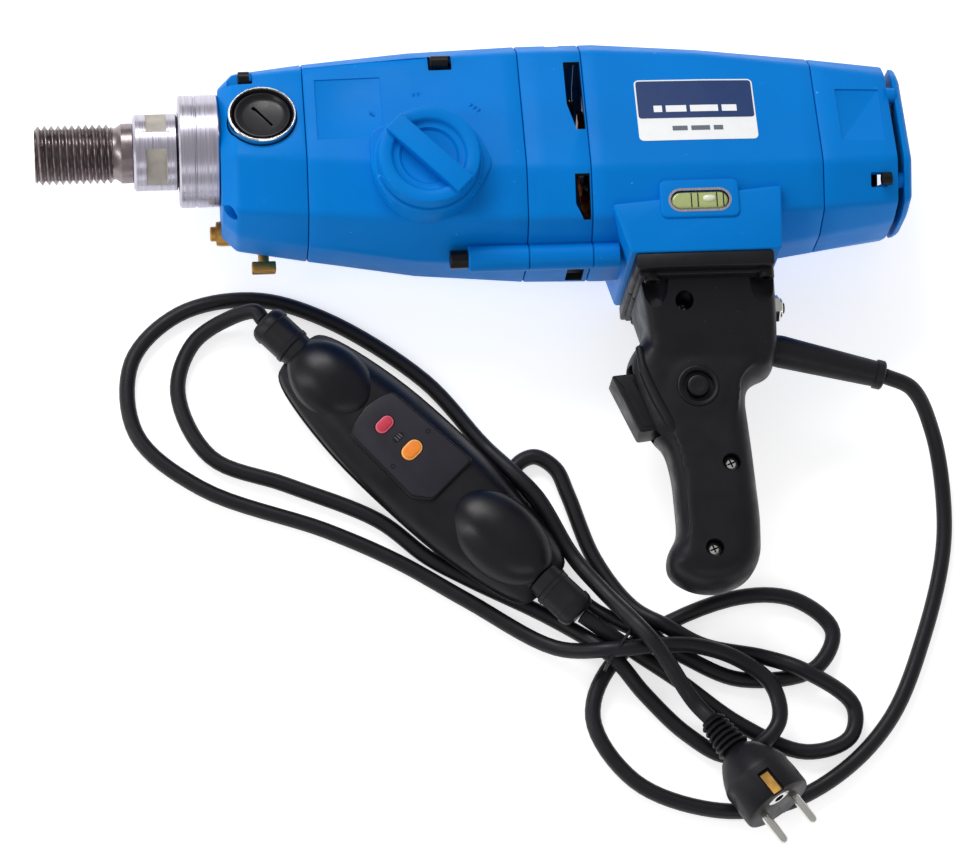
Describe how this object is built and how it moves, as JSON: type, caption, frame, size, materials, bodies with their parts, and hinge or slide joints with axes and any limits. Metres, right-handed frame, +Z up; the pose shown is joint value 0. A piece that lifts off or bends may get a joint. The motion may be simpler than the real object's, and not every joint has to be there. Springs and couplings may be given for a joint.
{
  "type": "core drill",
  "caption": "Hand-held two-speed wet diamond core drill motor with threaded spindle, pistol handle, mains cord, in-line residual-current breaker and earthed plug.",
  "frame": {"origin": "on the surface that the tool lies on, below the middle of the tool's bounding box, cord not counted", "axes": "+X from the spindle's tip to the rear cap, +Y from the handle's butt to the top of the body, +Z up from the surface, out of the side with the speed knob"},
  "size_m": [0.484, 0.4353, 0.111],
  "materials": {
    "blue_paint": "satin paint",
    "machined_steel": "turned",
    "spindle_steel": "turned, oiled",
    "gear_steel": "ground",
    "lamination_steel": "stacked laminations",
    "carbon": "pressed carbon",
    "copper": "enamelled copper",
    "brass": "dull",
    "black_plastic": "fine texture",
    "black_rubber": "satin",
    "bright_ring": "turned",
    "plated_steel": "plated",
    "clear_green": "clear",
    "red_plastic": "gloss",
    "orange_plastic": "gloss"
  },
  "bodies": {
    "tool": {"front_cap": "blue_paint", "gear_housing": "blue_paint", "fan_housing": "blue_paint", "motor_housing": "blue_paint", "rear_cover": "blue_paint", "rear_cap": "blue_paint", "clamping_collar": "machined_steel", "spindle_front_bearing": "gear_steel", "spindle_rear_bearing": "gear_steel", "countershaft_front_bearing": "gear_steel", "countershaft_rear_bearing": "gear_steel", "armature_front_bearing": "gear_steel", "armature_rear_bearing": "gear_steel", "stator_core": "lamination_steel", "carbon_brush_upper": "carbon", "carbon_brush_lower": "carbon", "field_coil_near": "copper", "field_coil_far": "copper", "brush_holder_upper": "brass", "brush_holder_lower": "brass", "water_inlet": "brass", "nose_cap": "black_plastic", "handle_near_shell": "black_plastic", "handle_far_shell": "black_plastic", "trigger_switch": "black_plastic", "breaker_base": "black_plastic", "breaker_cover": "black_plastic", "plug_body": "black_plastic", "spindle_seal": "black_rubber", "cord_strain_relief": "black_rubber", "breaker_gland_plug_end": "black_rubber", "breaker_gland_tool_end": "black_rubber", "cord_tool": "black_rubber", "cord_plug": "black_rubber", "nose_cap_ring": "bright_ring", "overload_breaker": "plated_steel", "handle_screw_top": "plated_steel", "handle_screw_middle": "plated_steel", "handle_screw_bottom": "plated_steel", "plug_pin_left": "plated_steel", "plug_pin_right": "plated_steel", "bubble_level": "clear_green"},
    "spindle": {"spindle": "spindle_steel", "spindle_low_gear": "gear_steel"},
    "high_gear": {"spindle_high_gear": "gear_steel"},
    "countershaft": {"countershaft": "gear_steel", "countershaft_drive_gear": "gear_steel"},
    "armature": {"armature_shaft": "gear_steel", "armature_core": "lamination_steel", "commutator": "copper", "cooling_fan": "black_plastic"},
    "shift_sleeve": {"shift_sleeve": "gear_steel"},
    "shift_fork": {"shift_fork": "brass"},
    "speed_knob": {"speed_knob": "blue_paint"},
    "trigger": {"trigger": "black_plastic"},
    "lock_button": {"lock_button": "black_plastic"},
    "overload_button": {"overload_button": "plated_steel"},
    "breaker_off_button": {"breaker_off_button": "red_plastic"},
    "breaker_on_button": {"breaker_on_button": "orange_plastic"},
    "water_tap_lever": {"water_tap_lever": "brass"}
  },
  "joints": [
    {"name": "spindle_spin", "type": "hinge", "parent": "tool", "child": "spindle", "pos_m": [-0.1, 0.1015, 0.047], "axis": [1, 0, 0], "continuous": true},
    {"name": "high_gear_spin", "type": "hinge", "parent": "tool", "child": "high_gear", "pos_m": [-0.054, 0.1015, 0.047], "axis": [1, 0, 0], "continuous": true},
    {"name": "countershaft_spin", "type": "hinge", "parent": "tool", "child": "countershaft", "pos_m": [0, 0.0715, 0.047], "axis": [1, 0, 0], "continuous": true},
    {"name": "armature_spin", "type": "hinge", "parent": "tool", "child": "armature", "pos_m": [0, 0.0895, 0.047], "axis": [1, 0, 0], "continuous": true},
    {"name": "knob_turn", "type": "hinge", "parent": "tool", "child": "speed_knob", "pos_m": [-0.026, 0.0755, 0.098], "axis": [0, 0, 1], "range_deg": [-80, 0]},
    {"name": "fork_slide", "type": "slide", "parent": "tool", "child": "shift_fork", "axis": [1, 0, 0], "range_m": [-0.0081, 0]},
    {"name": "sleeve_slide", "type": "slide", "parent": "spindle", "child": "shift_sleeve", "axis": [1, 0, 0], "range_m": [-0.0081, 0]},
    {"name": "trigger_press", "type": "slide", "parent": "tool", "child": "trigger", "axis": [0.9191, 0.3939, 0], "range_m": [0, 0.006], "stiffness_N_per_m": 400, "springref_m": -0.004},
    {"name": "lock_press", "type": "slide", "parent": "tool", "child": "lock_button", "axis": [0, 0, -1], "range_m": [0, 0.0025], "stiffness_N_per_m": 200, "springref_m": -0.002},
    {"name": "overload_press", "type": "slide", "parent": "tool", "child": "overload_button", "axis": [-1, 0, 0], "range_m": [0, 0.003], "stiffness_N_per_m": 200, "springref_m": -0.002},
    {"name": "breaker_off_press", "type": "slide", "parent": "tool", "child": "breaker_off_button", "axis": [0, 0, -1], "range_m": [0, 0.0015], "stiffness_N_per_m": 200, "springref_m": -0.002},
    {"name": "breaker_on_press", "type": "slide", "parent": "tool", "child": "breaker_on_button", "axis": [0, 0, -1], "range_m": [0, 0.0015], "stiffness_N_per_m": 200, "springref_m": -0.002},
    {"name": "tap_turn", "type": "hinge", "parent": "tool", "child": "water_tap_lever", "pos_m": [-0.112, 0.0415, 0.029], "axis": [0, 1, 0], "range_deg": [0, 90]}
  ],
  "couplings": [
    {"joint": "countershaft_spin", "follows": "spindle_spin", "ratio": -3},
    {"joint": "armature_spin", "follows": "spindle_spin", "ratio": 10.5},
    {"joint": "high_gear_spin", "follows": "spindle_spin", "ratio": 2.1429},
    {"joint": "fork_slide", "follows": "knob_turn", "m_per_rad": 0.00573},
    {"joint": "sleeve_slide", "follows": "knob_turn", "m_per_rad": 0.00573}
  ]
}
